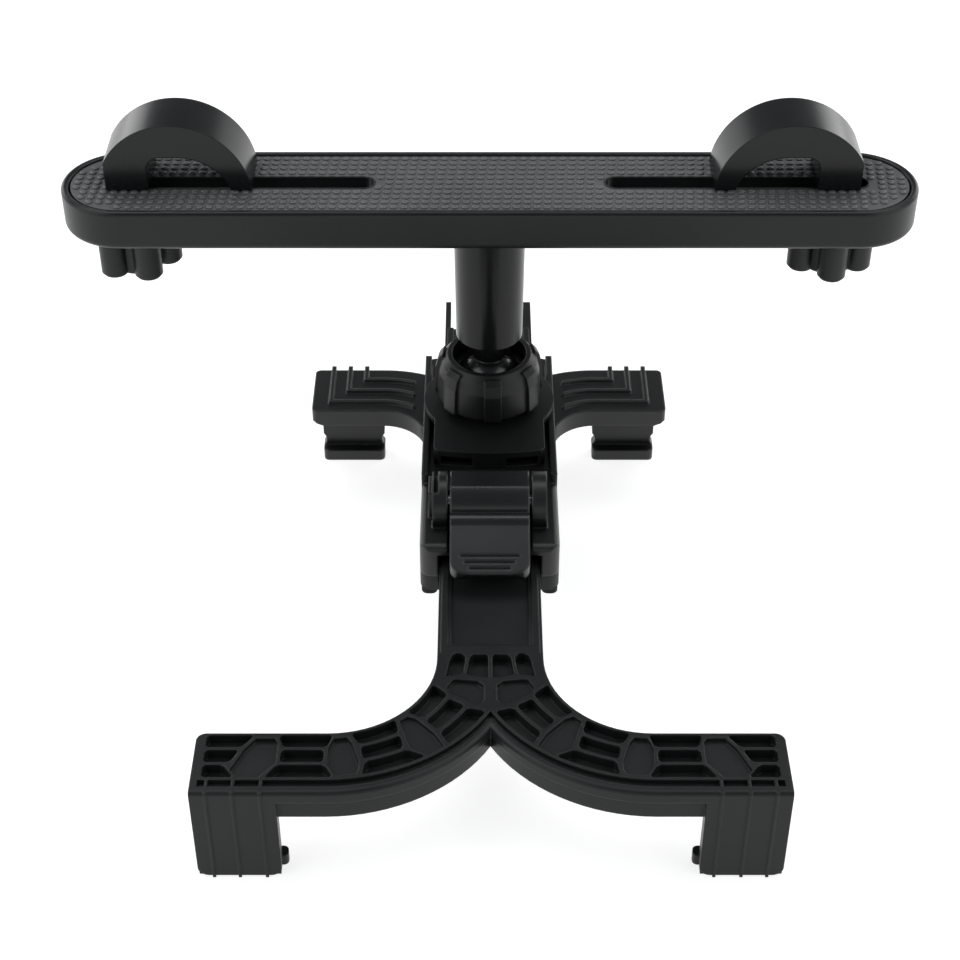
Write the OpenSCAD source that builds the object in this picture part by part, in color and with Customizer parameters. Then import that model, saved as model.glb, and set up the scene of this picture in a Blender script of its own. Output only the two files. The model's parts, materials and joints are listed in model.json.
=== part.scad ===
// Headrest tablet mount, lying on its tablet bracket with the headrest bar on top.
// X runs along the bar, Z is up, and the sliding jaw points towards -Y.
// The floor is z = 0, and the origin is the middle of the whole footprint.

/* [Headrest bar] */
// Length of the bar, end to end
bar_len = 210; // [190:1:240]
// Width of the bar
bar_w = 30.8; // [28:0.1:34]
// Height of the bar's side wall
bar_h = 10.4; // [9:0.1:14]
// Thickness of the bar's side wall
bar_wall = 2; // [1.6:0.1:2.4]
// Thickness of the deck under the pad
deck_t = 3; // [2.6:0.1:4]
// Thickness of the rubber pad
pad_t = 1.6; // [1.2:0.1:2.2]
// Depth of the pad's face below the rim
pad_drop = 0.45; // [0.3:0.05:0.8]
// Gap between the pad and the rim
pad_gap = 0.35; // [0.2:0.05:0.6]
// Radius of the bar's bottom edge
bar_edge_r = 1.6; // [0.8:0.1:2]
// Distance from the middle of the bar to a clamp bolt at its inner stop
bolt_in = 31; // [31:1:40]
// Distance from the bar's end to a clamp bolt at its outer stop
bolt_end = 15; // [14:1:20]
// Thickness of the rails under the slots
rail_t = 3; // [2.4:0.1:3.6]
// Thickness of the stiffening ribs under the bar
web_t = 1.5; // [1.2:0.1:2]
// Number of stiffening ribs beside each slot
web_count = 5; // [3:1:7]

/* [Headrest hooks] */
// Distance of the left bolt from its outer stop
left_inset = 1.8; // [0:0.1:40]
// Distance of the right bolt from its outer stop
right_inset = 5; // [0:0.1:40]
// Outer radius of the hook's half moon
moon_r = 18.9; // [18:0.1:20]
// Depth of the half moon's centre below the hook's foot
moon_drop = 1.5; // [0.5:0.1:2]
// Distance from the hook's upright outer side to the half moon's centre
moon_in = 16.7; // [15.5:0.1:17.5]
// Radius of the hook's opening
mouth_r = 13.1; // [12:0.1:14]
// Shift of the opening's centre towards the hook's tip
mouth_in = 1.4; // [0.5:0.1:2]
// Height of the opening's crown above the foot
mouth_h = 8.8; // [7:0.1:9]
// Width of the hook's foot
foot_w = 10.3; // [10:0.1:11.5]
// Depth of the hook along the bar's width
hook_depth = 14.5; // [12.5:0.1:16]
// Distance of the hook's front face from its bolt
hook_front = 4.4; // [4.2:0.1:6]
// Rounding in the corner of the opening beside the foot
mouth_fillet = 3.4; // [1:0.1:3.8]

/* [Clamp bolts and knobs] */
// Diameter of the clamp bolts
bolt_d = 5; // [4:0.5:5.5]
// Play of a bolt in its slot, each side
slot_play = 0.2; // [0.15:0.05:0.5]
// Width across the flats of bolt heads and nuts
hex_w = 7.6; // [7:0.1:7.8]
// Thickness of a bolt head
head_t = 3; // [2:0.25:3.25]
// Height of the bolt head above the hook's foot
head_z = 2; // [1.5:0.25:3]
// Thickness of a nut
nut_t = 4; // [3:0.25:5]
// Radius of a washer
washer_r = 7.2; // [6.2:0.1:8]
// Thickness of a washer
washer_t = 0.8; // [0.5:0.1:1.2]
// Height of a star knob
knob_h = 11.3; // [10:0.1:14]
// Distance of each lobe's middle from the knob's axis
lobe_pos = 7.3; // [6.8:0.1:9]
// Radius of each lobe
lobe_r = 3.5; // [2.6:0.1:3.8]
// Radius of the knob's core
core_r = 6.8; // [6:0.1:7.2]
// Number of lobes
lobes = 5; // [4:1:7]
// Turn of the left knob, in degrees
left_knob_turn = 9; // [0:1:72]
// Turn of the right knob, in degrees
right_knob_turn = -90; // [-90:1:0]
// Material left under the end of the bolt
knob_floor = 1.2; // [0.8:0.1:2]

/* [Post and ball] */
// Radius of the post where it enters the bar
post_top_r = 9; // [8:0.05:10]
// Radius of the post at its lower end
post_foot_r = 8.55; // [8:0.05:9]
// Length of the post between the ball's neck and the bar
post_len = 34.1; // [28:0.1:50]
// Depth of the post in its socket under the bar
post_in = 4; // [3:0.25:5]
// Wall of the socket that takes the post
boss_t = 2; // [1.6:0.1:3]
// Radius of the ball
ball_r = 8.5; // [8:0.1:8.6]
// Height of the post's lower end above the ball's centre
neck_top = 14.3; // [13.5:0.1:17]
// Radius of the neck
neck_r = 4.2; // [3.6:0.1:4.4]
// Reach of the neck's fins at the ball
fin_low = 5.9; // [5:0.1:6]
// Reach of the neck's fins under the post
fin_high = 4.8; // [4.5:0.1:4.9]
// Thickness of the neck's fins
fin_t = 1.4; // [1:0.1:1.8]
// Radius of the stud that the post turns on
stud_r = 4; // [3.6:0.1:4.4]
// Length of the stud inside the post
stud_len = 18; // [14:0.5:22]
// Radius of the post screw
screw_r = 2.2; // [1.8:0.1:2.4]
// Radius of the post screw's head
screw_head_r = 4.6; // [4:0.1:5.5]
// Thickness of the post screw's head
screw_head_t = 1.4; // [1:0.1:1.6]
// Length of the screw's thread in the stud
screw_grip = 12; // [8:0.5:13]

/* [Ball socket and collar nut] */
// Height of the socket's flange above the housing's deck
base_h = 5; // [4.5:0.1:7]
// Thickness of the socket's flange
flange_t = 1.9; // [1.5:0.1:2.2]
// Radius of the socket's flange
flange_r = 17.2; // [16.5:0.1:18]
// Height of the ball's centre above the flange
ball_up = 6.5; // [6:0.1:8]
// Radius of the threaded sleeve around the ball
sleeve_r = 11.2; // [11:0.1:11.6]
// Height of the sleeve's fingers above the ball's centre
finger_up = 2.5; // [2:0.1:3]
// Number of fingers in the sleeve
fingers = 6; // [4:1:8]
// Width of the slots between the fingers
finger_gap = 1.2; // [0.8:0.1:1.6]
// Slot between the tongue and each side rail
rail_gap = 1.3; // [0.6:0.1:2]
// Reach of the tongue from the ball's axis
tongue_y = 24.4; // [22:0.1:25.5]
// Sag of the tongue's curved front edge
tongue_sag = 1.6; // [1:0.1:2.5]
// Reach of the socket behind the ball's axis
base_back = 15; // [14:0.5:18]
// Wall of the socket's lower box
skirt_t = 1.6; // [1.2:0.1:2]
// Distance of the base screws from the tongue's sides
base_screw_in = 3.4; // [3:0.1:4]
// Distance of the front base screws from the ball's axis
base_screw_front = 11.5; // [11:0.25:13]
// Distance of the rear base screws from the ball's axis
base_screw_rear = 10; // [9:0.25:11]
// Half width of the web between the two front windows
web_half = 4; // [3:0.1:5]
// Outer radius of the collar nut at its ribs
collar_r = 14.4; // [14:0.1:15]
// Depth of the panels between the collar's ribs
panel_cut = 0.9; // [0.4:0.1:1.2]
// Number of ribs on the collar
collar_ribs = 7; // [6:1:10]
// Width of a collar rib
collar_rib_w = 4.3; // [3:0.1:5]
// Height of the collar's top above the ball's centre
collar_up = 8; // [7.5:0.1:8.4]
// Radius of the opening in the collar
collar_open = 9.65; // [9.4:0.05:9.8]
// Thickness of the collar's top lip
collar_lip = 3.5; // [3:0.1:4]

/* [Housing] */
// Width of the housing beside the stem's channel, each side
body_side = 4.6; // [4.4:0.1:6.5]
// Distance from the ball's axis to the housing's front
body_front = 55.8; // [53:0.1:60]
// Distance from the ball's axis to the housing's back
body_back = 25; // [24:0.5:30]
// Thickness of the housing above the stem
ceiling_t = 5.2; // [5:0.1:6.5]
// Height of the side rails above the deck
rail_h = 3; // [2.4:0.1:3]
// Thickness of the side rails
side_t = 1.7; // [1.4:0.1:1.9]
// Front end of the side rails, from the ball's axis
rail_front = 30.4; // [28:0.1:32]
// Thickness of the lower cover's floor
floor_t = 1.6; // [1.4:0.1:2.2]
// Height of the lower cover's side walls above its floor
cover_h = 2.8; // [2:0.1:3.5]
// Width of the bevel along the deck's edges
deck_bevel = 1.4; // [0.8:0.1:1.7]
// Rounding of the housing's front corners
corner_r = 3; // [2:0.25:4]
// Thickness of the rubber pads under the cover
foot_pad_t = 1.6; // [1:0.1:1.8]
// Radius of the housing screws
small_screw_r = 1.2; // [1:0.05:1.3]
// Radius of the housing screws' heads
small_head_r = 2; // [1.8:0.05:2.1]
// Thickness of the housing screws' heads
small_head_t = 1.6; // [1:0.1:1.8]
// Depth of the screws' heads below the face around them
head_sunk = 0.4; // [0.2:0.1:0.6]
// Length of the cover screws in the housing
cover_bite = 4.6; // [3:0.1:6]
// Length of the base screws in the socket
base_bite = 2.6; // [2:0.1:2.8]
// Distance of the cover screws from the housing's front and back
cover_screw_in = 9; // [7:0.25:12]

/* [Cam lever] */
// Distance from the ball's axis to the lever's pivot
pivot_y = 41.4; // [41:0.1:43]
// Height of the pivot above the deck
pivot_up = 3; // [2.8:0.1:3.4]
// Radius of the lever's pin
pin_r = 1.5; // [1.2:0.05:1.8]
// Width of the lever
lever_w = 19.6; // [18.5:0.1:20]
// Radius of the cam
cam_r = 7.6; // [7.4:0.05:7.7]
// Height of the cam's flat top above the pivot
cam_flat = 7; // [6.6:0.1:7.1]
// Relief of the cam behind the pivot, which frees the jaw
cam_relief = 0.7; // [0.4:0.05:1]
// Radius of the ridge in front of the cam
ridge_r = 2.4; // [2:0.1:2.6]
// Distance of the ridge from the pivot
ridge_y = 9.4; // [9:0.1:9.8]
// Height of the ridge's crown above the pivot
ridge_up = 3.3; // [2.8:0.1:3.6]
// Thickness of the thumb plate
plate_t = 2.6; // [2.2:0.1:3]
// Reach of the thumb plate from the pivot
plate_reach = 24; // [22:0.1:28]
// Drop of the thumb plate's end below the pivot
plate_drop = 3.9; // [3.4:0.1:4.2]
// Sag of the thumb plate's curved end
plate_sag = 1.8; // [1:0.1:2.4]
// Rounding of the thumb plate's corners
plate_corner_r = 3; // [1.5:0.1:3.5]
// Number of grooves across the thumb plate
grooves = 3; // [2:1:5]
// Spacing of the grooves
groove_pitch = 1.5; // [1.2:0.1:2]
// Width of a groove
groove_w = 0.5; // [0.4:0.05:0.7]
// Radius of the ears
ear_r = 7.5; // [7:0.1:8]
// Thickness of the ears
ear_t = 3.8; // [3:0.1:4]
// Gap between the lever and each ear
ear_gap = 0.6; // [0.3:0.05:0.8]

/* [Tablet hooks] */
// Height of the arms' top above the floor
hook_h = 27.2; // [24:0.1:34]
// Thickness of the hooks' outer wall
hook_wall = 3.2; // [2.6:0.1:4]
// Thickness of the lips under the tablet
lip_t = 3.4; // [2.8:0.1:4]
// Reach of the near lips from the outer face
near_lip = 6; // [5:0.1:8]
// Reach of the far lips from the outer face
far_lip = 6; // [5:0.1:8]
// Rounding of the hooks' lower corners
hook_corner = 2.5; // [1.5:0.25:3]
// Height of the beads on the near hooks
bead_t = 0.35; // [0.25:0.05:0.6]
// Width of the beads on the near hooks
bead_w = 0.7; // [0.5:0.1:1.2]
// Reach of the near lips past the inner side of the wall
lip_side = 1.3; // [0.6:0.1:2]

/* [Near jaw] */
// Distance from the ball's axis to the near hooks' outer face
near_y = 131.2; // [122:0.1:150]
// Overall width of the near jaw
near_w = 131.3; // [120:0.1:150]
// Width of each near hook
near_hook_w = 18.8; // [16:0.1:22]
// Width of the jaw's arms
arm_w = 18; // [17:0.1:19]
// Thickness of the jaw's arms
arm_t = 9; // [7.5:0.1:10]
// Inner radius of the bend from the stem to an arm
bend_r = 24; // [20:0.5:26]
// Width of the stem
stem_w = 24.8; // [24:0.1:25.2]
// Height of the stem
stem_h = 6.4; // [6:0.1:7]
// Depth of the stem's sunken face
stem_sunk = 1.6; // [1:0.1:2]
// Width of the stem's side rails
stem_rail = 3.1; // [2.6:0.1:3.4]
// Length of the stem from the bends' centre to its fork's tips
stem_len = 153.2; // [152:0.1:170]
// Length of the fork at the stem's end
fork_len = 15.5; // [12:0.5:22]
// Thickness of the left prong
left_prong = 1.5; // [1.2:0.1:2]
// Thickness of the right prong
right_prong = 2.6; // [2:0.1:3]
// Rounding of the arms' far corners
end_r = 2.2; // [1:0.1:3]
// Swell of the arms' near edge towards the fork between them
edge_swell = 1.3; // [0.5:0.1:2]
// Thickness of the ribs between the pockets
rib_t = 0.8; // [0.7:0.05:1.1]
// Thickness of the rim along the arms' far edge
rim_t = 0.6; // [0.5:0.05:1]
// Width of the groove behind the near edge
groove_in = 1.9; // [1.5:0.1:2.2]
// Depth of that groove
groove_deep = 1.3; // [0.8:0.1:1.6]
// Width of the bead along the near edge, with its bevel
edge_w = 2.1; // [1.8:0.1:2.6]
// Width of the bead's bevel
edge_bevel = 0.8; // [0.5:0.1:1]
// Swell of the arms' rows towards the fork between them
swell = 4; // [2:0.25:4.5]
// Depth of the deep pockets
pocket_deep = 2.6; // [2:0.1:3.4]
// Thickness of the arms' edge under the deep pockets
pocket_floor = 0.6; // [0.5:0.1:1.2]
// Depth of the shallow pockets
pocket_shallow = 1.1; // [0.8:0.1:1.8]
// Setback of the arm's lower side
set_back = 1.4; // [0.8:0.1:2]

/* [Far arms] */
// Distance from the ball's axis to the far hooks' outer face
far_y = 27.2; // [24:0.1:30]
// Overall width across the far arms
far_w = 96.6; // [90:0.1:120]
// Width of each far arm along the bracket
far_arm_w = 19.2; // [18:0.1:20]
// Thickness of the far arms
far_arm_t = 5.1; // [4:0.1:5.5]
// Inner radius of the bend beside the housing
far_bend_r = 12; // [12:0.25:13]
// Distance from the middle to the start of the bend
far_bend_x = 29; // [28:0.1:29]
// Width of a far hook's wall
far_wall_w = 17.4; // [15:0.1:18]
// Inset of the far hook's wall from the arm's end
far_inset = 1.3; // [1:0.1:3]
// Rounding of the far arms' lower ends
far_end_r = 3; // [1.5:0.1:3.5]
// Depth of the scallops in the far hooks' sides
scallop = 0.8; // [0.4:0.1:1.2]
// Height of the decorative ribs on the far arms
trim_h = 0.8; // [0.5:0.1:1.2]
// Width of the decorative ribs
trim_w = 1.2; // [0.8:0.1:1.5]
// Spacing of the decorative ribs
trim_pitch = 4.6; // [4:0.1:5]

/* [Hidden] */
$fn = 64;

PLASTIC = "#2b2e30";
RUBBER = "#232426";
STEEL = "#9a9da0";

// Clearances
fit = 0.05;
slide_gap = 0.1;
seat_gap = 0.45;
run_gap = 0.3;
eps = 0.01;

// Heights, from the floor up
stem_z = hook_h - stem_h;
channel_z = stem_z - run_gap;
cover_z = channel_z - floor_t;
seam_z = channel_z + cover_h;
ceiling_z = hook_h + run_gap;
deck_z = ceiling_z + ceiling_t;
flange_z = deck_z + base_h;
ball_z = flange_z + ball_up;
collar_top = ball_z + collar_up;
post_z = ball_z + neck_top;
bar_z = post_z + post_len;
rim_z = bar_z + bar_h;
pad_face = rim_z - pad_drop;
deck_face = pad_face - pad_t;
deck_under = deck_face - deck_t;
hook_z = pad_face + seat_gap;
washer_z = bar_z - slide_gap - washer_t;
knob_z = washer_z - slide_gap - knob_h;

// Places along the bar
slot_w = bolt_d + 2 * slot_play;
bolt_out = bar_len / 2 - bolt_end;
left_x = -(bolt_out - left_inset);
right_x = bolt_out - right_inset;
end_x = bar_len / 2 - bar_w / 2;
foot_out = foot_w / 2;
boss_r = post_top_r + fit + boss_t;

// Places along the bracket
bend_y = -near_y + arm_w + bend_r;
bend_x = stem_w / 2 + bend_r;
outer_r = bend_r + arm_w;
fork_y = bend_y + stem_len;
pivot_z = deck_z + pivot_up;
far_bend_y = far_y - far_arm_w - far_bend_r;
channel_w = stem_w + 2 * run_gap;
body_w = channel_w + 2 * body_side;
tongue_w = body_w / 2 - side_t - rail_gap;
lip_band = pocket_deep + pocket_floor;
wall_x = (channel_w + body_w) / 4;
ear_in = lever_w / 2 + ear_gap;
plate_slope = atan((ridge_up + plate_drop - 0.9) / (plate_reach - ridge_y - 1.2));
middle_y = (fork_y - near_y - bead_t) / 2;

// Shapes used by several pieces

module place() {
    translate([0, -middle_y, 0])
    children();
}

// Rectangle from one corner to another with four rounded corners
module round_box2d(low, high, r) {
    translate([low[0] + r, low[1]])
    square([high[0] - low[0] - 2 * r, high[1] - low[1]]);
    translate([low[0], low[1] + r])
    square([high[0] - low[0], high[1] - low[1] - 2 * r]);
    for (x = [low[0] + r, high[0] - r], y = [low[1] + r, high[1] - r])
        translate([x, y])
        circle(r);
}

// Slot outline with round ends between two points on the X axis
module slot2d(x0, x1, w) {
    translate([min(x0, x1), -w / 2])
    square([abs(x1 - x0), w]);
    for (x = [x0, x1])
        translate([x, 0])
        circle(w / 2);
}

// Block between two corners
module block(low, high) {
    translate(low)
    cube(high - low);
}

// Plate seen from the front: an outline in X and Z, from y0 to y1
module front_plate(y0, y1) {
    translate([0, y1, 0])
    rotate([90, 0, 0])
    linear_extrude(y1 - y0)
    children();
}

// Bar seen from the side: an outline in Y and Z, from x0 to x1
module side_plate(x0, x1) {
    translate([x0, 0, 0])
    rotate([90, 0, 90])
    linear_extrude(x1 - x0)
    children();
}

module hex_prism(w, h) {
    cylinder(h = h, r = w / sqrt(3), $fn = 6);
}

module both_sides() {
    children();
    mirror([1, 0, 0])
    children();
}

// Headrest bar

// Half section of the bar's wall, with a full round rim and a round lower edge
module bar_wall2d() {
    half = bar_w / 2;
    rim_r = bar_wall / 2;
    translate([half - bar_wall, bar_edge_r])
    square([bar_wall, bar_h - bar_edge_r - rim_r]);
    translate([half - rim_r, bar_h - rim_r])
    circle(rim_r);
    intersection() {
        translate([half - bar_edge_r, bar_edge_r])
        circle(bar_edge_r);
        square([half, bar_edge_r]);
    }
    translate([half - bar_wall, 0])
    square([max(bar_wall - bar_edge_r, eps), bar_edge_r]);
}

module bar_ring() {
    for (side = [-1, 1])
        translate([side * end_x, 0, bar_z])
        rotate_extrude()
        bar_wall2d();
}

module bar_walls() {
    difference() {
        bar_ring();
        block([-end_x, -bar_w, bar_z - eps], [end_x, bar_w, rim_z + eps]);
    }
    translate([0, 0, bar_z])
    side_plate(-end_x, end_x) {
        bar_wall2d();
        mirror([1, 0])
        bar_wall2d();
    }
}

module slots(extra, z0, z1) {
    for (side = [-1, 1])
        translate([0, 0, z0])
        linear_extrude(z1 - z0)
        slot2d(side * bolt_in, side * bolt_out, slot_w + 2 * extra);
}

module bar_webs() {
    reach = bar_w / 2 - bar_wall / 2;
    span = bolt_out - bolt_in;
    for (side = [-1, 1], i = [0:web_count - 1]) {
        x = side * (bolt_in + span * (i + 0.5) / web_count);
        block([x - web_t / 2, -reach, bar_z + bar_edge_r], [x + web_t / 2, reach, deck_under]);
    }
    for (y = [-1, 1] * slot_w)
        block([-bolt_in, y - web_t / 2, bar_z + bar_edge_r], [bolt_in, y + web_t / 2, deck_under]);
}

module bar_shell() {
    color(PLASTIC)
    difference() {
        union() {
            bar_walls();
            translate([0, 0, deck_under])
            linear_extrude(deck_t)
            slot2d(-end_x, end_x, bar_w - bar_wall);
            bar_webs();
            slots(rail_t, bar_z, deck_under);
            translate([0, 0, bar_z])
            cylinder(h = deck_under - bar_z, r = boss_r);
        }
        slots(0, bar_z - 1, deck_face + 1);
        translate([0, 0, bar_z - 1])
        cylinder(h = post_in + 1 + slide_gap, r = post_top_r + fit);
        cylinder(h = rim_z, r = screw_r + fit);
        translate([0, 0, deck_face - screw_head_t - slide_gap])
        cylinder(h = deck_t, r = screw_head_r + fit);
    }
}

module grip_pad() {
    color(RUBBER)
    difference() {
        translate([0, 0, deck_face])
        linear_extrude(pad_t)
        slot2d(-end_x, end_x, bar_w - 2 * bar_wall - 2 * pad_gap);
        slots(0, deck_face - 1, rim_z);
    }
}

// Headrest hooks, drawn with x = 0 at the bolt and the tip towards +X

module hook2d() {
    moon_x = moon_in - foot_out;
    mouth_x = moon_x + mouth_in;
    corner_x = foot_out + mouth_fillet;
    difference() {
        translate([moon_x, -moon_drop])
        circle(moon_r, $fn = 128);
        translate([-moon_r, -2 * moon_r])
        square([4 * moon_r, 2 * moon_r]);
        translate([-foot_out - moon_r, -1])
        square([moon_r, 2 * moon_r]);
        intersection() {
            translate([mouth_x, mouth_h - mouth_r])
            circle(mouth_r, $fn = 96);
            translate([corner_x, -mouth_r])
            square([2 * mouth_r, 3 * mouth_r]);
        }
        translate([corner_x, -1])
        square([mouth_x - corner_x, mouth_h + 1]);
        translate([foot_out, -1])
        square([2 * mouth_fillet, mouth_h + 1 - mouth_fillet]);
        translate([corner_x, mouth_h - mouth_fillet])
        circle(mouth_fillet);
    }
}

module hook_at(x, inward) {
    color(PLASTIC)
    translate([x, 0, hook_z])
    difference() {
        front_plate(-hook_front, hook_depth - hook_front)
        scale([inward, 1])
        hook2d();
        translate([0, 0, -1])
        cylinder(h = head_z + head_t + 1, r = bolt_d / 2 + fit);
        translate([0, 0, head_z - fit])
        hex_prism(hex_w + 2 * fit, head_t + 2 * fit);
    }
}

module left_hook() {
    hook_at(left_x, 1);
}

module right_hook() {
    hook_at(right_x, -1);
}

module bolt_at(x) {
    end_z = knob_z + knob_floor;
    color(STEEL)
    translate([x, 0, 0]) {
        translate([0, 0, end_z])
        cylinder(h = hook_z + head_z - end_z, r = bolt_d / 2);
        translate([0, 0, hook_z + head_z])
        hex_prism(hex_w, head_t);
    }
}

module left_bolt() {
    bolt_at(left_x);
}

module right_bolt() {
    bolt_at(right_x);
}

module washer_at(x) {
    color(STEEL)
    translate([x, 0, washer_z])
    difference() {
        cylinder(h = washer_t, r = washer_r);
        translate([0, 0, -1])
        cylinder(h = washer_t + 2, r = bolt_d / 2 + fit);
    }
}

module left_washer() {
    washer_at(left_x);
}

module right_washer() {
    washer_at(right_x);
}

module star2d(turn, inset) {
    circle(core_r - inset);
    for (i = [0:lobes - 1])
        rotate(turn + i * 360 / lobes)
        translate([lobe_pos, 0])
        circle(lobe_r - inset);
}

module knob_at(x, turn) {
    step = 0.6;
    color(PLASTIC)
    translate([x, 0, knob_z])
    difference() {
        union() {
            translate([0, 0, step])
            linear_extrude(knob_h - step)
            star2d(turn, 0);
            linear_extrude(step)
            star2d(turn, 0.5);
        }
        translate([0, 0, -1])
        cylinder(h = knob_h + 2, r = bolt_d / 2 + fit);
        translate([0, 0, knob_h - nut_t])
        hex_prism(hex_w + 2 * fit, nut_t + 1);
    }
}

module left_knob() {
    knob_at(left_x, left_knob_turn);
}

module right_knob() {
    knob_at(right_x, right_knob_turn);
}

module knob_nut_at(x) {
    color(STEEL)
    translate([x, 0, knob_z + knob_h - nut_t])
    difference() {
        hex_prism(hex_w, nut_t);
        translate([0, 0, -1])
        cylinder(h = nut_t + 2, r = bolt_d / 2 + fit);
    }
}

module left_knob_nut() {
    knob_nut_at(left_x);
}

module right_knob_nut() {
    knob_nut_at(right_x);
}

// Post, screw and ball

module post() {
    top = bar_z + post_in;
    stud_top = post_z + stud_len;
    color(PLASTIC)
    rotate_extrude()
    difference() {
        polygon([[0, post_z], [post_foot_r, post_z], [post_top_r, bar_z - 0.5],
            [post_top_r, top], [0, top]]);
        square([stud_r + fit, stud_top + slide_gap]);
        square([screw_r + fit, top + 1]);
    }
}

module post_screw() {
    end_z = post_z + stud_len - screw_grip;
    head = deck_face - screw_head_t;
    color(STEEL) {
        translate([0, 0, end_z])
        cylinder(h = head - end_z, r = screw_r);
        translate([0, 0, head])
        cylinder(h = screw_head_t - slide_gap, r = screw_head_r);
    }
}

module ball_stud() {
    color(PLASTIC)
    difference() {
        union() {
            translate([0, 0, ball_z])
            sphere(ball_r, $fn = 96);
            translate([0, 0, ball_z])
            cylinder(h = neck_top - slide_gap, r = neck_r);
            translate([0, 0, post_z - 1])
            cylinder(h = stud_len + 1, r = stud_r);
            front_plate(-fin_t / 2, fin_t / 2)
            polygon([[-fin_low, ball_z + 5.5], [fin_low, ball_z + 5.5],
                [fin_high, post_z - 1], [-fin_high, post_z - 1]]);
        }
        translate([0, 0, post_z + stud_len - screw_grip - slide_gap])
        cylinder(h = screw_grip + 1, r = screw_r + fit);
    }
}

// Ball socket

module tongue2d(grow) {
    reach = tongue_y + grow;
    half = tongue_w + grow;
    arc_r = (half * half + tongue_sag * tongue_sag) / (2 * tongue_sag);
    intersection() {
        translate([-half, -reach])
        square([2 * half, reach + base_back]);
        translate([0, -reach + arc_r])
        circle(arc_r, $fn = 180);
        rotate([0, 0, 45])
        square([sqrt(2) * (half + reach - 2.4), 200], center = true);
        rotate([0, 0, -45])
        square([sqrt(2) * (half + reach - 2.4), 200], center = true);
    }
}

module base_screw_places() {
    for (x = [-1, 1] * (tongue_w - base_screw_in), y = [-base_screw_front, base_screw_rear])
        translate([x, y, 0])
        children();
}

module socket_base() {
    under = flange_z - flange_t;
    seat_r = ball_r + 2 * fit;
    color(PLASTIC)
    difference() {
        union() {
            translate([0, 0, under])
            cylinder(h = flange_t, r = flange_r, $fn = 96);
            translate([0, 0, under])
            linear_extrude(flange_t)
            tongue2d(0);
            translate([0, 0, deck_z])
            linear_extrude(base_h)
            difference() {
                tongue2d(0);
                tongue2d(-skirt_t);
            }
            translate([0, 0, deck_z])
            cylinder(h = ball_z + finger_up - deck_z, r = sleeve_r);
            block([-web_half, -tongue_y + 0.6, deck_z], [web_half, 0, flange_z]);
            base_screw_places()
            translate([0, 0, deck_z])
            cylinder(h = base_h, r = small_screw_r + 1.4);
        }
        translate([0, 0, ball_z])
        sphere(seat_r, $fn = 96);
        translate([0, 0, deck_z + 1])
        cylinder(h = ball_z - deck_z - 2, r = seat_r);
        for (i = [0:fingers - 1])
            rotate([0, 0, i * 360 / fingers])
            block([0, -finger_gap / 2, flange_z + 1.5], [sleeve_r + 1, finger_gap / 2, collar_top]);
        both_sides()
        block([web_half + 0.4, -tongue_y - 1, deck_z + 0.5], [tongue_w - 1.8, -sleeve_r - 4, deck_z + 3.1]);
        base_screw_places()
        translate([0, 0, deck_z - 1])
        cylinder(h = 1 + base_bite + head_sunk, r = small_screw_r + fit);
    }
}

module base_screws() {
    color(STEEL)
    base_screw_places()
    translate([0, 0, ceiling_z + head_sunk]) {
        cylinder(h = ceiling_t - head_sunk + base_bite, r = small_screw_r);
        cylinder(h = small_head_t, r = small_head_r);
    }
}

// Cup under the ball, turning with it in the bottom of the socket
module ball_seat() {
    color(RUBBER)
    rotate_extrude()
    difference() {
        translate([0, deck_z + 1 + slide_gap])
        square([ball_r + fit, ball_z - 3 - deck_z]);
        translate([0, ball_z])
        circle(ball_r + fit, $fn = 96);
    }
}

// Half section of the collar nut
module collar2d(r) {
    low = flange_z + 0.7;
    polygon([[sleeve_r + fit, low], [r - 1.4, low], [r, low + 1.6], [r - 0.3, ball_z + 3],
        [r - 1, collar_top - 2], [r - 2.6, collar_top], [collar_open, collar_top],
        [collar_open, collar_top - collar_lip], [sleeve_r + fit, collar_top - collar_lip - 1.2]]);
}

module collar_nut() {
    color(PLASTIC)
    union() {
        rotate_extrude($fn = 96)
        collar2d(collar_r - panel_cut);
        intersection() {
            rotate_extrude($fn = 96)
            collar2d(collar_r);
            for (i = [0:collar_ribs - 1])
                rotate([0, 0, -86 + i * 360 / collar_ribs])
                block([sleeve_r + 0.6, -collar_rib_w / 2, flange_z], [collar_r + 1, collar_rib_w / 2, collar_top - 0.5]);
        }
    }
}

// Housing with the far arms

module body2d(grow) {
    half = body_w / 2 + grow;
    round_box2d([-half, -body_front - grow], [half, body_back + grow], corner_r + grow);
}

module front_arch(z0, z1) {
    block([-channel_w / 2, -body_front - 1, z0], [channel_w / 2, -body_front + 6, z1]);
}

module ears() {
    both_sides()
    side_plate(ear_in, ear_in + ear_t)
    difference() {
        translate([-pivot_y, pivot_z])
        circle(ear_r);
        translate([-pivot_y - 2 * ear_r, deck_z - 1 - ear_r])
        square([4 * ear_r, ear_r]);
    }
}

// Small stop block beside the left ear, with the slot between them
module ear_block() {
    block([-ear_in - ear_t - 1, -pivot_y - 3, deck_z - 1], [-ear_in - ear_t + 0.4, -pivot_y + 3.8, pivot_z + 5]);
}

module ear_slot() {
    block([-ear_in - ear_t + 0.4, -pivot_y - 4.2, pivot_z + 2.4], [-ear_in - 2.4, -pivot_y + ear_r + 1, pivot_z + ear_r + 1]);
}

// Bevel in two steps, cut from an edge along X or Y: u runs inwards and v upwards
module bevel2d(w) {
    polygon([[-1, -w], [0, -w], [0.3 * w, -0.3 * w], [w, 0], [w, 1], [-1, 1]]);
}

module deck_bevels() {
    translate([0, -body_front, deck_z])
    side_plate(-body_w, body_w)
    bevel2d(deck_bevel);
    both_sides()
    translate([-body_w / 2, 0, deck_z])
    front_plate(-body_front - 1, -rail_front)
    bevel2d(deck_bevel);
}

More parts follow.
